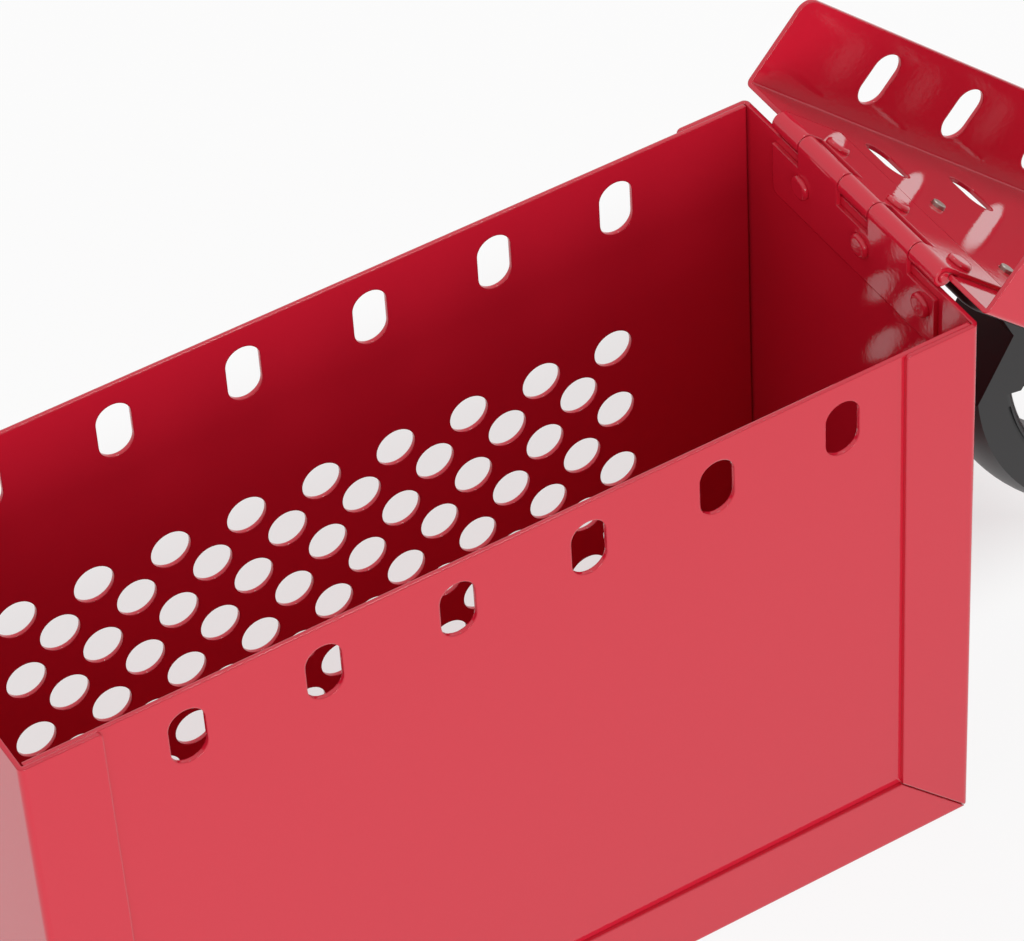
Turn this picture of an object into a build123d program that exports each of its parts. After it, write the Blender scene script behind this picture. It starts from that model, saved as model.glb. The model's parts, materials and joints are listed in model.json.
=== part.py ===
"""Group lockout box: a slotted sheet steel box with a full-length hinged lid and a moulded bow handle.

Millimetres, +Z up, +X to the hinged end, -Y to the front. The origin is the centre of the base.
The lid is drawn closed and then swung open until its far edge stands on the ground beside the box.
"""
import os
from math import asin, atan2, cos, degrees, hypot, radians, sin

from build123d import *

# Box sizes
box_length = 254.0
box_depth = 99.6
box_height = 169.0
sheet = 1.2
inner_bend = 0.4
outer_bend = inner_bend + sheet
end_flange = 20.5
base_flange = 21.0
flange_corner = 1.2
mitre_gap = 0.5
panel_gap = 0.1

# Padlock slots and ventilation holes
slot_width = 9.5
slot_height = 16.5
slot_pitch = 35.0
slot_columns = 6
front_shift = 1.6
back_shift = -0.6
slot_drop = 14.2
hole_diameter = 11.0
hole_step = 10.6
hole_columns = 17
hole_rows = 8
hole_drop = 60.0

# Hinge sizes
barrel_radius = 2.7
leaf_thickness = 1.2
leaf_width = 21.5
hinge_length = 69.5
end_knuckle = 11.2
body_knuckle = 17.2
knuckle_gap = 0.3
lid_leaf_notch = 1.3
body_leaf_notch = 2.5
leaf_corner = 2.0
pin_clearance = 0.05
pin_overrun = 0.4
wall_clearance = 0.8
curl_slit = 0.25
curl_end_angle = 225.0
rivet_radius = 1.6
rivet_hole_clearance = 0.05
rivet_pitch = 25.7
rivet_shift = -3.8
rivet_head_radius = 3.3
rivet_head_height = 1.3
rivet_tail_height = 0.7
rivet_head_round = 0.9
body_rivet_drop = 7.7
lid_rivet_reach = 8.3

# Lid sizes
lid_side_clearance = 0.2
lid_end_clearance = 0.8
lid_flange_reach = 26.7
lid_flange_corner = 4.0
lid_lip_reach = 12.0
lid_hinge_setback = 0.4
lid_slot_width = 9.0
lid_slot_height = 15.0
lid_slot_drop = 14.4
top_slot_ys = (-33.0, 31.0)
lip_side_gap = 0.4
barrel_notch_side = 0.8

# Handle sizes
handle_shift = -3.5
handle_row_span = 171.8
handle_screw_spacing = 28.9
grip_width = 22.0
grip_thickness = 11.0
grip_crown = 3.5
grip_edge_round = 2.5
arch_radius = 74.0
arch_flat = 20.0
arch_height = 53.7
leg_outer_foot = 66.8
leg_outer_top = 58.7
leg_outer_top_height = 35.0
leg_inner_foot = 50.0
leg_inner_top = 47.6
leg_inner_top_height = 28.0
foot_length = 46.0
foot_width = 40.0
foot_height = 10.0
foot_edge = 10.0
foot_corner = 6.0
foot_round = 2.5
gusset_reach = 16.0
gusset_height = 15.0
groove_width = 0.9
groove_depth = 0.7
groove_inset = 2.4
screw_radius = 1.9
screw_bore_clearance = 0.2
screw_thread_clearance = 0.02
screw_overrun = 1.1
screw_tip_round = 0.4
screw_head_radius = 3.5
screw_head_height = 2.0
screw_head_round = 0.9
screw_head_clearance = 0.4
counterbore_depth = 2.4
recess_length = 3.8
recess_width = 0.9
recess_depth = 1.2

# Places worked out from the sizes
barrel_bore = barrel_radius - leaf_thickness
pin_radius = barrel_bore - pin_clearance
leaf_outer_x = box_length / 2 - sheet - leaf_thickness
hinge_x = leaf_outer_x + barrel_radius
hinge_z = box_height + wall_clearance + barrel_radius
lid_leaf_bottom = hinge_z - barrel_radius
lid_bottom = lid_leaf_bottom + leaf_thickness
lid_top = lid_bottom + sheet
lid_width = box_depth + 2 * (lid_side_clearance + sheet)
lid_far_x = -box_length / 2 - lid_end_clearance - sheet
lid_near_x = hinge_x - lid_hinge_setback
front_slot_xs = [front_shift + (i - (slot_columns - 1) / 2) * slot_pitch for i in range(slot_columns)]
back_slot_xs = [back_shift + (i - (slot_columns - 1) / 2) * slot_pitch for i in range(slot_columns)]
rivet_ys = [rivet_shift - rivet_pitch, rivet_shift, rivet_shift + rivet_pitch]
handle_screw_points = [
    (front_shift + row * handle_row_span / 2, handle_shift + side * handle_screw_spacing / 2)
    for row in (-1, 1)
    for side in (-1, 1)
]
arch_centre_height = arch_height - arch_radius
hinge_axis = Axis((hinge_x, 0, hinge_z), (0, 1, 0))

# The lid opens past upright until the outer bend of its far edge touches the ground
bend_reach = hinge_x - lid_far_x - outer_bend
bend_rise = lid_top - outer_bend - hinge_z
open_angle = 180 + degrees(asin((hinge_z - outer_bend) / hypot(bend_reach, bend_rise))) - degrees(
    atan2(bend_rise, bend_reach)
)

# Knuckle spans along the barrel, from the front end to the back end
middle_knuckle = hinge_length - 2 * end_knuckle - 2 * body_knuckle
knuckle_lengths = [end_knuckle, body_knuckle, middle_knuckle, body_knuckle, end_knuckle]
knuckle_spans = []
knuckle_start = -hinge_length / 2
for length in knuckle_lengths:
    knuckle_spans.append((knuckle_start, knuckle_start + length))
    knuckle_start += length
lid_knuckles = knuckle_spans[0::2]
body_knuckles = knuckle_spans[1::2]


def slot_row(slot_xs, height, length, width, mode=Mode.ADD):
    """Upright padlock slots centred at a height, for a sketch on a front or back plane."""
    with Locations(*[(x, height) for x in slot_xs]):
        SlotOverall(length, width, rotation=90, mode=mode)


def side_plane(y):
    """A plane facing the front, with X to the right and Z up, at a depth."""
    return Plane(origin=(0, y, 0), x_dir=(1, 0, 0), z_dir=(0, -1, 0))


def opened(piece):
    """The piece of the closed lid, swung to the open rest position."""
    return piece.rotate(hinge_axis, open_angle)


def save(piece, name):
    piece.label = name
    export_step(piece, f"parts/{name}.step")


os.makedirs("parts", exist_ok=True)

# Body wrap: end walls and base from one sheet, flanges folded onto front and back, mitred below
with BuildPart() as body_wrap:
    with BuildSketch():
        Rectangle(box_length, box_depth)
    extrude(amount=box_height)
    fillet(body_wrap.edges().filter_by(Axis.Z), outer_bend)
    fillet(body_wrap.faces().sort_by(Axis.Z)[0].edges(), outer_bend)
    offset(amount=-sheet, openings=body_wrap.faces().sort_by(Axis.Z)[-1])
    with BuildSketch(side_plane(0)):
        with Locations((0, base_flange + box_height / 2)):
            Rectangle(box_length - 2 * end_flange, box_height)
    extrude(amount=box_depth, both=True, mode=Mode.SUBTRACT)
    flange_tops = body_wrap.edges().filter_by(Axis.Y).group_by(Axis.Z)[-1]
    fillet([edge for edge in flange_tops if edge.length < outer_bend], flange_corner)
    for face_y, inward in ((-box_depth / 2, -1), (box_depth / 2, 1)):
        with BuildSketch(side_plane(face_y)):
            for side in (-1, 1):
                with Locations((side * (box_length - end_flange) / 2, base_flange / 2)):
                    Rectangle(
                        hypot(end_flange, base_flange) + outer_bend,
                        mitre_gap,
                        rotation=-side * degrees(atan2(base_flange, end_flange)),
                    )
        extrude(amount=inward * outer_bend, mode=Mode.SUBTRACT)
    with BuildSketch(Plane.YZ.offset(box_length / 2)):
        with Locations(*[(y, box_height - body_rivet_drop) for y in rivet_ys]):
            Circle(rivet_radius + rivet_hole_clearance)
    extrude(amount=-sheet, mode=Mode.SUBTRACT)
save(body_wrap.part, "body_wrap")

# Front and back panels: flat sheets welded behind the flanges
panel_width = box_length - 2 * (outer_bend + panel_gap)
panel_bottom = outer_bend + panel_gap
panel_middle = (box_height + panel_bottom) / 2

with BuildPart() as front_panel:
    with BuildSketch(side_plane(-box_depth / 2 + sheet)):
        with Locations((0, panel_middle)):
            Rectangle(panel_width, box_height - panel_bottom)
        slot_row(front_slot_xs, box_height - slot_drop, slot_height, slot_width, Mode.SUBTRACT)
    extrude(amount=-sheet)
save(front_panel.part, "front_panel")

hole_points = [
    (back_shift + (column - (hole_columns - 1) / 2) * hole_step, box_height - hole_drop - row * hole_step)
    for row in range(hole_rows)
    for column in range(row % 2, hole_columns, 2)
]
with BuildPart() as back_panel:
    with BuildSketch(side_plane(box_depth / 2 - sheet)):
        with Locations((0, panel_middle)):
            Rectangle(panel_width, box_height - panel_bottom)
        slot_row(back_slot_xs, box_height - slot_drop, slot_height, slot_width, Mode.SUBTRACT)
        with Locations(*hole_points):
            Circle(hole_diameter / 2, mode=Mode.SUBTRACT)
    extrude(amount=sheet)
save(back_panel.part, "back_panel")


def knuckle_ring():
    """Section of a rolled knuckle round the hinge line, open by a fine slit where the roll ends."""
    slit_middle = (barrel_radius + barrel_bore) / 2
    slit_x = hinge_x + slit_middle * cos(radians(curl_end_angle))
    slit_z = hinge_z + slit_middle * sin(radians(curl_end_angle))
    with Locations((hinge_x, hinge_z)):
        Circle(barrel_radius)
        Circle(barrel_bore, mode=Mode.SUBTRACT)
    with Locations((slit_x, slit_z)):
        Rectangle(2 * leaf_thickness, curl_slit, rotation=curl_end_angle, mode=Mode.SUBTRACT)


# Body leaf: upright strip inside the end wall, rolled round the pin in two knuckles
notch_top = box_height - body_leaf_notch
leaf_bottom = hinge_z - leaf_width
with BuildPart() as hinge_body_leaf:
    with BuildSketch(Plane.YZ.offset(leaf_outer_x)):
        with Locations((0, (notch_top + leaf_bottom) / 2)):
            RectangleRounded(hinge_length, notch_top - leaf_bottom, leaf_corner)
        with Locations((0, (notch_top + leaf_bottom) / 2 + leaf_corner)):
            Rectangle(hinge_length, notch_top - leaf_bottom - 2 * leaf_corner)
        with Locations(*[(y, box_height - body_rivet_drop) for y in rivet_ys]):
            Circle(rivet_radius + rivet_hole_clearance, mode=Mode.SUBTRACT)
    extrude(amount=leaf_thickness)
    for start, end in body_knuckles:
        with BuildSketch(side_plane(start + knuckle_gap / 2)):
            knuckle_ring()
            with Locations((leaf_outer_x + leaf_thickness / 2, (notch_top + hinge_z) / 2)):
                Rectangle(leaf_thickness, hinge_z - notch_top)
        extrude(amount=knuckle_gap - (end - start))
save(hinge_body_leaf.part, "hinge_body_leaf")

# Lid leaf: level strip under the lid's plate, rolled round the pin in three knuckles
notch_x = hinge_x - barrel_radius - lid_leaf_notch
leaf_far_x = hinge_x - leaf_width
with BuildPart() as hinge_lid_leaf:
    with BuildSketch(Plane.XY.offset(lid_leaf_bottom)):
        with Locations(((notch_x + leaf_far_x) / 2, 0)):
            Rectangle(notch_x - leaf_far_x, hinge_length)
        with Locations(*[(hinge_x - lid_rivet_reach, y) for y in rivet_ys]):
            Circle(rivet_radius + rivet_hole_clearance, mode=Mode.SUBTRACT)
    extrude(amount=leaf_thickness)
    for start, end in lid_knuckles:
        with BuildSketch(side_plane(start + knuckle_gap / 2)):
            knuckle_ring()
            with Locations(((hinge_x + notch_x) / 2, lid_leaf_bottom + leaf_thickness / 2)):
                Rectangle(hinge_x - notch_x, leaf_thickness)
        extrude(amount=knuckle_gap - (end - start))
save(opened(hinge_lid_leaf.part), "hinge_lid_leaf")

# Hinge pin through all five knuckles, peened round at both ends
with BuildPart() as hinge_pin:
    with BuildSketch(side_plane(-hinge_length / 2 - pin_overrun)):
        with Locations((hinge_x, hinge_z)):
            Circle(pin_radius)
    extrude(amount=-(hinge_length + 2 * pin_overrun))
    fillet(hinge_pin.edges().filter_by(GeomType.CIRCLE), pin_overrun)
save(hinge_pin.part, "hinge_pin")


# Rivets: domed heads on the leaves, shanks through leaf and sheet, low tails on the far side
rivet_grip = leaf_thickness + sheet
body_head_plane = Plane(
    origin=(leaf_outer_x, 0, box_height - body_rivet_drop), x_dir=(0, 1, 0), z_dir=(-1, 0, 0)
)
lid_head_plane = Plane(
    origin=(hinge_x - lid_rivet_reach, 0, lid_leaf_bottom), x_dir=(0, 1, 0), z_dir=(0, 0, -1)
)
for rivets_name, head_plane in (("body_leaf_rivets", body_head_plane), ("lid_leaf_rivets", lid_head_plane)):
    with BuildPart() as rivets:
        with BuildSketch(head_plane):
            with Locations(*[(y, 0) for y in rivet_ys]):
                Circle(rivet_head_radius)
        extrude(amount=rivet_head_height)
        head_edges = rivets.edges().filter_by(GeomType.CIRCLE)
        head_axis = Axis(head_plane.origin, head_plane.z_dir)
        fillet(head_edges.group_by(head_axis)[-1], rivet_head_round)
        with BuildSketch(head_plane):
            with Locations(*[(y, 0) for y in rivet_ys]):
                Circle(rivet_radius)
        extrude(amount=-rivet_grip)
        with BuildSketch(head_plane.offset(-rivet_grip)):
            with Locations(*[(y, 0) for y in rivet_ys]):
                Circle(rivet_head_radius)
        extrude(amount=-rivet_tail_height)
    save(opened(rivets.part) if rivets_name == "lid_leaf_rivets" else rivets.part, rivets_name)

# Lid: plate with a flange down each side, a lip at the far end and padlock slots through all of them
lid_run = lid_near_x - lid_far_x - outer_bend
with BuildPart() as lid:
    with BuildSketch(Plane.YZ.offset(lid_near_x)) as channel:
        with Locations((0, lid_top - lid_flange_reach / 2)):
            Rectangle(lid_width, lid_flange_reach)
        fillet(channel.vertices().group_by(Axis.Y)[-1], outer_bend)
        with Locations((0, lid_bottom - lid_flange_reach / 2)):
            Rectangle(lid_width - 2 * sheet, lid_flange_reach, mode=Mode.SUBTRACT)
        fillet(channel.vertices().group_by(Axis.Y)[-2], inner_bend)
    extrude(amount=-lid_run)
    fillet(lid.edges().filter_by(Axis.Y).group_by(Axis.Z)[0], lid_flange_corner)
    lip_width = lid_width - 2 * (outer_bend + lip_side_gap)
    with BuildSketch(side_plane(-lip_width / 2)) as lip:
        with Locations((lid_far_x + outer_bend, lid_top - lid_lip_reach / 2)):
            Rectangle(2 * outer_bend, lid_lip_reach)
        fillet(lip.vertices().group_by(Axis.Y)[-1].sort_by(Axis.X)[0], outer_bend)
        with Locations((lid_far_x + sheet + outer_bend, lid_bottom - lid_lip_reach / 2)):
            Rectangle(2 * outer_bend, lid_lip_reach, mode=Mode.SUBTRACT)
        fillet(lip.vertices().group_by(Axis.Y)[-2].sort_by(Axis.X)[0], inner_bend)
    extrude(amount=-lip_width)
    for slot_xs, reach in ((front_slot_xs, lid_width), (back_slot_xs, -lid_width)):
        with BuildSketch(side_plane(0)):
            slot_row(slot_xs, lid_top - lid_slot_drop, lid_slot_height, lid_slot_width)
        extrude(amount=reach, mode=Mode.SUBTRACT)
    with BuildSketch(Plane.XY.offset(lid_top)):
        with Locations(*[(x, y) for x in front_slot_xs for y in top_slot_ys]):
            SlotOverall(lid_slot_height, lid_slot_width, rotation=90)
        with Locations(*handle_screw_points):
            Circle(screw_radius + screw_thread_clearance)
        with Locations(*[(hinge_x - lid_rivet_reach, y) for y in rivet_ys]):
            Circle(rivet_radius + rivet_hole_clearance)
        with Locations(((notch_x + lid_near_x) / 2 + outer_bend, 0)):
            Rectangle(lid_near_x - notch_x + 2 * outer_bend, hinge_length + 2 * barrel_notch_side)
    extrude(amount=-sheet, mode=Mode.SUBTRACT)
save(opened(lid.part), "lid")

# Handle: crowned arch on two legs, each on a screwed foot, with a fine groove along both sides
arch_angle = degrees(atan2(leg_outer_top - arch_flat / 2, leg_outer_top_height - arch_centre_height))
leg_lean = (leg_outer_foot - leg_outer_top) / leg_outer_top_height
trim_height = arch_height + grip_thickness
groove_radius = arch_radius - grip_thickness + groove_inset
groove_angle = degrees(asin((leg_inner_top - arch_flat / 2) / groove_radius))
foot_middle = handle_row_span / 2 + foot_edge - foot_length / 2


def arch_line(radius, angle):
    """The arch seen from the side at a radius: two equal arcs joined by a level run."""
    level = arch_centre_height + radius
    CenterArc((-arch_flat / 2, arch_centre_height), radius, 90 + angle, -angle)
    Line((-arch_flat / 2, level), (arch_flat / 2, level))
    CenterArc((arch_flat / 2, arch_centre_height), radius, 90, -angle)


def handle_plane(y):
    """A plane facing the front at a depth from the handle's middle, its origin on the lid's plate."""
    return Plane(origin=(front_shift, handle_shift + y, lid_top), x_dir=(1, 0, 0), z_dir=(0, -1, 0))


with BuildPart() as handle:
    with BuildSketch(Plane.XY.offset(lid_top)):
        with Locations(*[(front_shift + side * foot_middle, handle_shift) for side in (-1, 1)]):
            RectangleRounded(foot_length, foot_width, foot_corner)
    extrude(amount=foot_height)
    fillet(handle.edges().group_by(Axis.Z)[-1], foot_round)
    with BuildLine(handle_plane(0)) as arch:
        arch_line(arch_radius, arch_angle)
    with BuildSketch(Plane(origin=arch.line @ 0, x_dir=(0, 1, 0), z_dir=arch.line % 0)) as grip:
        with BuildLine():
            Polyline(
                (-grip_width / 2, 0),
                (-grip_width / 2, -grip_thickness),
                (grip_width / 2, -grip_thickness),
                (grip_width / 2, 0),
            )
            ThreePointArc((grip_width / 2, 0), (0, grip_crown), (-grip_width / 2, 0))
        make_face()
        fillet(grip.vertices().group_by(Axis.Y)[0], grip_edge_round)
    sweep(path=arch.line)
    for side in (-1, 1):
        with BuildSketch(handle_plane(-grip_width / 2)):
            with BuildLine():
                Polyline(
                    (side * leg_outer_foot, 0),
                    (side * leg_outer_top, leg_outer_top_height),
                    (side * leg_inner_top, leg_inner_top_height),
                    (side * leg_inner_foot, 0),
                    close=True,
                )
            make_face()
            with BuildLine():
                Polyline(
                    (side * leg_inner_foot, 0),
                    (side * (leg_outer_foot - leg_lean * gusset_height), gusset_height),
                    (side * (leg_outer_foot + gusset_reach), foot_height - foot_round),
                    (side * (leg_outer_foot + gusset_reach), 0),
                    close=True,
                )
            make_face()
        extrude(amount=-grip_width)
        with BuildSketch(handle_plane(-grip_width)):
            with BuildLine():
                Polyline(
                    (side * (leg_outer_foot - leg_lean * gusset_height), gusset_height),
                    (side * (leg_outer_foot - leg_lean * trim_height), trim_height),
                    (side * (leg_outer_foot + foot_length), trim_height),
                    (side * (leg_outer_foot + foot_length), gusset_height),
                    close=True,
                )
            make_face()
        extrude(amount=-2 * grip_width, mode=Mode.SUBTRACT)
    for face_y, inward in ((-grip_width / 2, -1), (grip_width / 2, 1)):
        with BuildSketch(handle_plane(face_y)):
            with BuildLine():
                arch_line(groove_radius, groove_angle)
            trace(line_width=groove_width)
        extrude(amount=inward * groove_depth, mode=Mode.SUBTRACT)
    with BuildSketch(Plane.XY.offset(lid_top)):
        with Locations(*handle_screw_points):
            Circle(screw_radius + screw_bore_clearance)
    extrude(amount=foot_height, mode=Mode.SUBTRACT)
    with BuildSketch(Plane.XY.offset(lid_top + foot_height)):
        with Locations(*handle_screw_points):
            Circle(screw_head_radius + screw_head_clearance)
    extrude(amount=-counterbore_depth, mode=Mode.SUBTRACT)
save(opened(handle.part), "handle")

# Pan head screws down through the feet, cut into the lid's plate, their ends bare inside the lid
screw_seat = lid_top + foot_height - counterbore_depth
with BuildPart() as handle_screws:
    with BuildSketch(Plane.XY.offset(screw_seat)):
        with Locations(*handle_screw_points):
            Circle(screw_head_radius)
    extrude(amount=screw_head_height)
    fillet(handle_screws.edges().filter_by(GeomType.CIRCLE).group_by(Axis.Z)[-1], screw_head_round)
    with BuildSketch(Plane.XY.offset(screw_seat + screw_head_height)):
        with Locations(*handle_screw_points):
            Rectangle(recess_length, recess_width)
            Rectangle(recess_width, recess_length)
    extrude(amount=-recess_depth, mode=Mode.SUBTRACT)
    with BuildSketch(Plane.XY.offset(screw_seat)):
        with Locations(*handle_screw_points):
            Circle(screw_radius)
    extrude(amount=lid_bottom - screw_overrun - screw_seat)
    fillet(handle_screws.edges().filter_by(GeomType.CIRCLE).group_by(Axis.Z)[0], screw_tip_round)
save(opened(handle_screws.part), "handle_screws")

print(f"hinge line at x {hinge_x:.3f}, z {hinge_z:.3f}; lid open {open_angle:.3f} degrees")
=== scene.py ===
"""Looks of the group lockout box: glossy red powder coat, black moulded handle, zinc plated screws.

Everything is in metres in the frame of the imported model: +X to the hinged end, -Y to the front, +Z up.
"""
import json
from math import radians

import bpy
from mathutils import Matrix, Vector

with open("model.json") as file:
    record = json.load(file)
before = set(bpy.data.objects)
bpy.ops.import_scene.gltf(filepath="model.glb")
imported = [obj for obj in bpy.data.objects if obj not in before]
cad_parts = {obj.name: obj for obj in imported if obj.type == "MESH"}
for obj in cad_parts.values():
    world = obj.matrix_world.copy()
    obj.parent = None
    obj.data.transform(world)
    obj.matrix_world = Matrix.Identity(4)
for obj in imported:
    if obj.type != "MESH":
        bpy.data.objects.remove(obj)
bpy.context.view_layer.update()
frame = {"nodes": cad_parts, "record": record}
nodes = frame["nodes"]

MM = 0.001
WHITE = (1.0, 1.0, 1.0, 1.0)

# Camera, found from the slots, holes and edges in the photograph
PHOTO_WIDTH = 1024
SENSOR_WIDTH = 36.0
FOCAL_LENGTH_PIXELS = 5004.17
CAMERA_PLACE = (-0.38373, -0.75004, 0.96845)
CAMERA_AZIMUTH = 28.701
CAMERA_ELEVATION = 44.236
CAMERA_ROLL = -3.829
CAMERA_NEAR = 0.05
CAMERA_FAR = 20.0


def linear(hex_colour):
    """A linear RGBA colour from an sRGB hex value."""
    channels = [int(hex_colour[i : i + 2], 16) / 255 for i in (1, 3, 5)]
    straight = [c / 12.92 if c <= 0.04045 else ((c + 0.055) / 1.055) ** 2.4 for c in channels]
    return (*straight, 1.0)


def new_material(name):
    """An empty node material and its output node."""
    material = bpy.data.materials.new(name)
    material.use_nodes = True
    material.node_tree.nodes.clear()
    output = material.node_tree.nodes.new("ShaderNodeOutputMaterial")
    return material, output


def add(tree, kind, settings=None, links=None):
    """Adds a node: settings hold socket values or node properties, links join other nodes' sockets to it."""
    node = tree.nodes.new(kind)
    for key, value in (settings or {}).items():
        if key in node.inputs:
            node.inputs[key].default_value = value
        else:
            setattr(node, key, value)
    for key, source in (links or {}).items():
        tree.links.new(source, node.inputs[key])
    return node


def add_camera():
    """The camera at the photograph's place, turned to its azimuth, elevation and roll."""
    data = bpy.data.cameras.new("photo_camera")
    data.sensor_width = SENSOR_WIDTH
    data.lens = FOCAL_LENGTH_PIXELS * SENSOR_WIDTH / PHOTO_WIDTH
    data.clip_start = CAMERA_NEAR
    data.clip_end = CAMERA_FAR
    camera = bpy.data.objects.new("photo_camera", data)
    bpy.context.scene.collection.objects.link(camera)
    turn = Matrix.Rotation(radians(-CAMERA_AZIMUTH), 4, "Z")
    tilt = Matrix.Rotation(radians(90 - CAMERA_ELEVATION), 4, "X")
    roll = Matrix.Rotation(radians(CAMERA_ROLL), 4, "Z")
    camera.matrix_world = Matrix.Translation(CAMERA_PLACE) @ turn @ tilt @ roll
    bpy.context.scene.camera = camera


add_camera()

# Light: a plain white tent, a soft lamp low in front and a small one overhead
TENT_LIGHT = 0.73
TENT_SEEN = 1.0
LAMP_AIM = (0.0, 0.0, 0.1)
KEY_PLACE = (-0.6, -2.0, 0.25)
KEY_SIZE = 1.0
KEY_POWER = 23.0
TOP_PLACE = (0.45, 0.55, 1.5)
TOP_SIZE = 0.35
TOP_POWER = 4.0

# Floor: how far it is seen as pure white, in the open and in the strip under and behind the box's holes,
# where the lower whiteness is a painted shadow
FLOOR_HALF = 3.0
FLOOR_DROP = -0.05 * MM
FLOOR_COLOUR = "#E4E3E3"
OPEN_WHITE = 0.9
PAINTED_SHADOW_WHITE = 0.42
# Each pair is where the painted shadow strip ends and where the open floor begins: sideways, behind and in
# front
PAINTED_SHADOW_HALF_LENGTH = (0.17, 0.24)
PAINTED_SHADOW_REACH = (0.14, 0.21)
PAINTED_SHADOW_START = (0.05, 0.0)


def add_lamp(name, place, size, power):
    """A square area lamp at a place, aimed at the middle of the box."""
    data = bpy.data.lights.new(name, "AREA")
    data.shape = "SQUARE"
    data.size = size
    data.energy = power
    lamp = bpy.data.objects.new(name, data)
    bpy.context.scene.collection.objects.link(lamp)
    direction = Vector(LAMP_AIM) - Vector(place)
    turn = direction.to_track_quat("-Z", "Y").to_matrix().to_4x4()
    lamp.matrix_world = Matrix.Translation(place) @ turn


def add_seen_rays(tree):
    """One for rays of the camera, gloss and glass, nought for rays that only carry light."""
    path = add(tree, "ShaderNodeLightPath").outputs
    larger = {"operation": "MAXIMUM"}
    links = {0: path["Is Glossy Ray"], 1: path["Is Transmission Ray"]}
    mirrored = add(tree, "ShaderNodeMath", larger, links)
    links = {0: path["Is Camera Ray"], 1: mirrored.outputs[0]}
    return add(tree, "ShaderNodeMath", larger, links).outputs[0]


def add_surround():
    """A plain white tent: white to the camera, gloss and glass, and a little dimmer as light."""
    world = bpy.data.worlds.new("studio")
    bpy.context.scene.world = world
    world.use_nodes = True
    tree = world.node_tree
    tree.nodes.clear()
    levels = {"To Min": TENT_LIGHT, "To Max": TENT_SEEN}
    strength = add(tree, "ShaderNodeMapRange", levels, {"Value": add_seen_rays(tree)})
    links = {"Strength": strength.outputs[0]}
    background = add(tree, "ShaderNodeBackground", {"Color": WHITE}, links)
    add(tree, "ShaderNodeOutputWorld", None, {"Surface": background.outputs[0]})


def add_floor():
    """A broad white floor just under the box that keeps the box's soft shadow, with a painted shadow in a
    strip under and behind the box.
    """
    turns = ((-1, -1), (1, -1), (1, 1), (-1, 1))
    corners = [(x * FLOOR_HALF, y * FLOOR_HALF, FLOOR_DROP) for x, y in turns]
    mesh = bpy.data.meshes.new("studio_floor")
    mesh.from_pydata(corners, [], [(0, 1, 2, 3)])
    floor = bpy.data.objects.new("studio_floor", mesh)
    bpy.context.scene.collection.objects.link(floor)
    material, output = new_material("white_studio_floor")
    tree = material.node_tree
    place = add(tree, "ShaderNodeTexCoord").outputs["Object"]
    along = add(tree, "ShaderNodeSeparateXYZ", None, {"Vector": place}).outputs
    off_middle = add(tree, "ShaderNodeMath", {"operation": "ABSOLUTE"}, {0: along["X"]}).outputs[0]
    distances = (off_middle, along["Y"], along["Y"])
    clear = []
    for distance, span in zip(distances, (PAINTED_SHADOW_HALF_LENGTH, PAINTED_SHADOW_REACH, PAINTED_SHADOW_START)):
        settings = {"interpolation_type": "SMOOTHSTEP", "From Min": span[0], "From Max": span[1]}
        past = add(tree, "ShaderNodeMapRange", settings, {"Value": distance})
        clear.append(past.outputs[0])
    larger = {"operation": "MAXIMUM"}
    beside_or_behind = add(tree, "ShaderNodeMath", larger, {0: clear[0], 1: clear[1]}).outputs[0]
    outside_painted_shadow = add(tree, "ShaderNodeMath", larger, {0: beside_or_behind, 1: clear[2]}).outputs[0]
    # Painted shadow: in the strip under and behind the box the floor is less white to the camera, gloss and
    # glass
    levels = {"To Min": PAINTED_SHADOW_WHITE, "To Max": OPEN_WHITE}
    whiteness_with_painted_shadow = add(tree, "ShaderNodeMapRange", levels, {"Value": outside_painted_shadow}).outputs[0]
    links = {0: add_seen_rays(tree), 1: whiteness_with_painted_shadow}
    share = add(tree, "ShaderNodeMath", {"operation": "MULTIPLY"}, links)
    matt = add(tree, "ShaderNodeBsdfDiffuse", {"Color": linear(FLOOR_COLOUR)})
    white = add(tree, "ShaderNodeEmission", {"Color": WHITE, "Strength": 1.0})
    links = {0: share.outputs[0], 1: matt.outputs[0], 2: white.outputs[0]}
    both = add(tree, "ShaderNodeMixShader", None, links)
    tree.links.new(both.outputs[0], output.inputs["Surface"])
    mesh.materials.append(material)


add_surround()
add_floor()
add_lamp("key_lamp", KEY_PLACE, KEY_SIZE, KEY_POWER)
add_lamp("top_lamp", TOP_PLACE, TOP_SIZE, TOP_POWER)


# Finishes: sRGB colours, widths and depths of their relief in real sizes, roughness
RED = "#CC1E35"
RED_ROUGHNESS = 0.03
PEEL_WIDTH = 1.6 * MM
PEEL_DEPTH = 0.02 * MM
EDGE_RADIUS = 0.6 * MM
BLACK = "#0C0A0C"
BLACK_ROUGHNESS = 0.42
# A real spark-eroded grain is about 0.1 mm wide; this one is coarser so that it shows
GRAIN_WIDTH = 0.5 * MM
GRAIN_DEPTH = 0.02 * MM
ZINC = "#A39A92"
ZINC_ROUGHNESS = (0.25, 0.5)
MOTTLE_WIDTH = 1.5 * MM
# Typical refractive index of a polyester coat and of polypropylene
RESIN_IOR = 1.5


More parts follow.
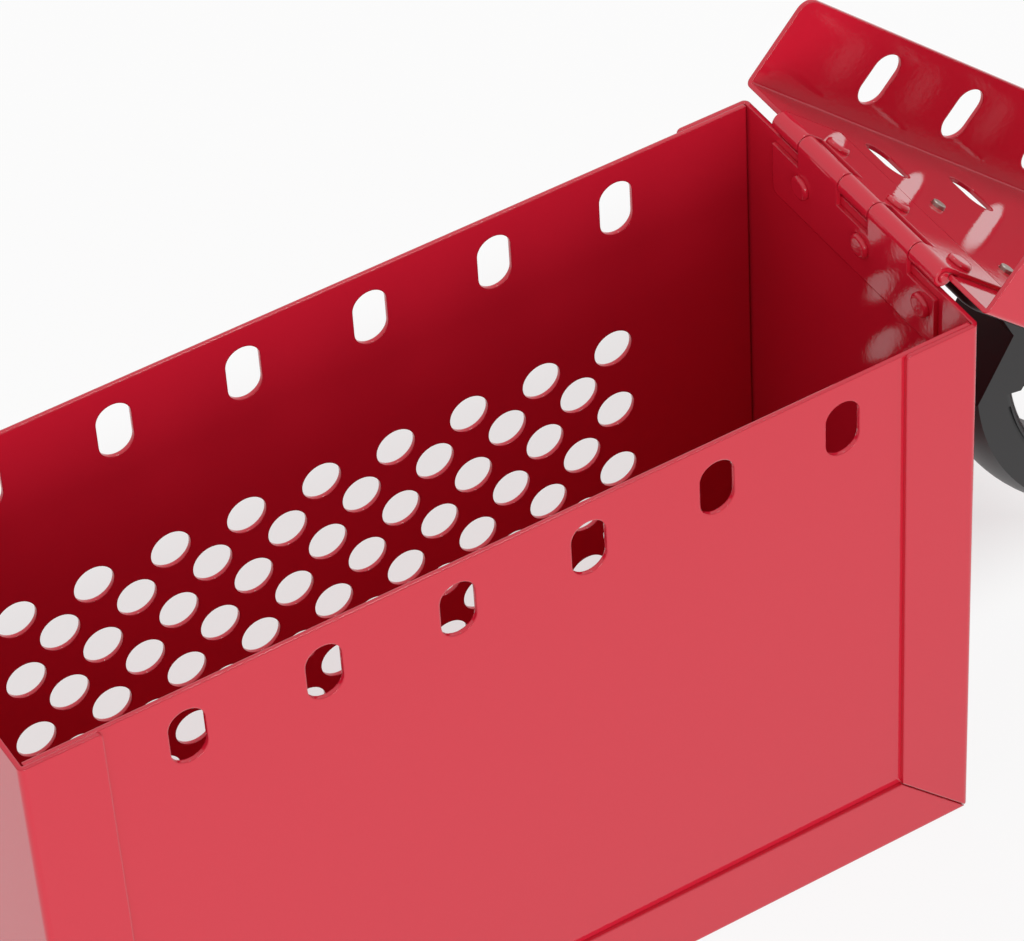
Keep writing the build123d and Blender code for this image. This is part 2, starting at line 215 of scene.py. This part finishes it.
def red_powder_coat():
    """Polyester powder coat, sprayed on steel and baked: deep red, mirror gloss, with a fine orange peel."""
    material, output = new_material("red_powder_coat")
    tree = material.node_tree
    place = add(tree, "ShaderNodeTexCoord").outputs["Object"]
    ripples = {"Scale": 1 / PEEL_WIDTH, "Detail": 4.0, "Roughness": 0.6}
    peel = add(tree, "ShaderNodeTexNoise", ripples, {"Vector": place})
    edge = add(tree, "ShaderNodeBevel", {"samples": 8, "Radius": EDGE_RADIUS})
    links = {"Height": peel.outputs["Fac"], "Normal": edge.outputs[0]}
    bump = add(tree, "ShaderNodeBump", {"Strength": 1.0, "Distance": PEEL_DEPTH}, links)
    shader = add(
        tree,
        "ShaderNodeBsdfPrincipled",
        {"Base Color": linear(RED), "Roughness": RED_ROUGHNESS, "IOR": RESIN_IOR},
        {"Normal": bump.outputs[0]},
    )
    tree.links.new(shader.outputs[0], output.inputs["Surface"])
    return material


def black_plastic():
    """Moulded polypropylene: soft black, satin, with a fine spark-eroded grain."""
    material, output = new_material("black_moulded_plastic")
    tree = material.node_tree
    place = add(tree, "ShaderNodeTexCoord").outputs["Object"]
    grain = add(tree, "ShaderNodeTexNoise", {"Scale": 1 / GRAIN_WIDTH, "Detail": 3.0}, {"Vector": place})
    links = {"Height": grain.outputs["Fac"]}
    bump = add(tree, "ShaderNodeBump", {"Strength": 0.5, "Distance": GRAIN_DEPTH}, links)
    shader = add(
        tree,
        "ShaderNodeBsdfPrincipled",
        {"Base Color": linear(BLACK), "Roughness": BLACK_ROUGHNESS, "IOR": RESIN_IOR},
        {"Normal": bump.outputs[0]},
    )
    tree.links.new(shader.outputs[0], output.inputs["Surface"])
    return material


def zinc_steel():
    """Zinc plated steel, dulled: grey metal with a slightly mottled sheen."""
    material, output = new_material("zinc_plated_steel")
    tree = material.node_tree
    place = add(tree, "ShaderNodeTexCoord").outputs["Object"]
    mottle = add(tree, "ShaderNodeTexNoise", {"Scale": 1 / MOTTLE_WIDTH, "Detail": 3.0}, {"Vector": place})
    levels = {"To Min": ZINC_ROUGHNESS[0], "To Max": ZINC_ROUGHNESS[1]}
    rough = add(tree, "ShaderNodeMapRange", levels, {"Value": mottle.outputs["Fac"]})
    shader = add(
        tree,
        "ShaderNodeBsdfPrincipled",
        {"Base Color": linear(ZINC), "Metallic": 1.0},
        {"Roughness": rough.outputs[0]},
    )
    tree.links.new(shader.outputs[0], output.inputs["Surface"])
    return material


finishes = {
    "red_powder_coat": red_powder_coat(),
    "black_plastic": black_plastic(),
    "zinc_steel": zinc_steel(),
}
for subpart in frame["record"]["subparts"]:
    mesh = nodes[subpart["node"]].data
    mesh.materials.clear()
    mesh.materials.append(finishes[subpart["material_slot"]])

bpy.context.scene.view_settings.view_transform = "Standard"
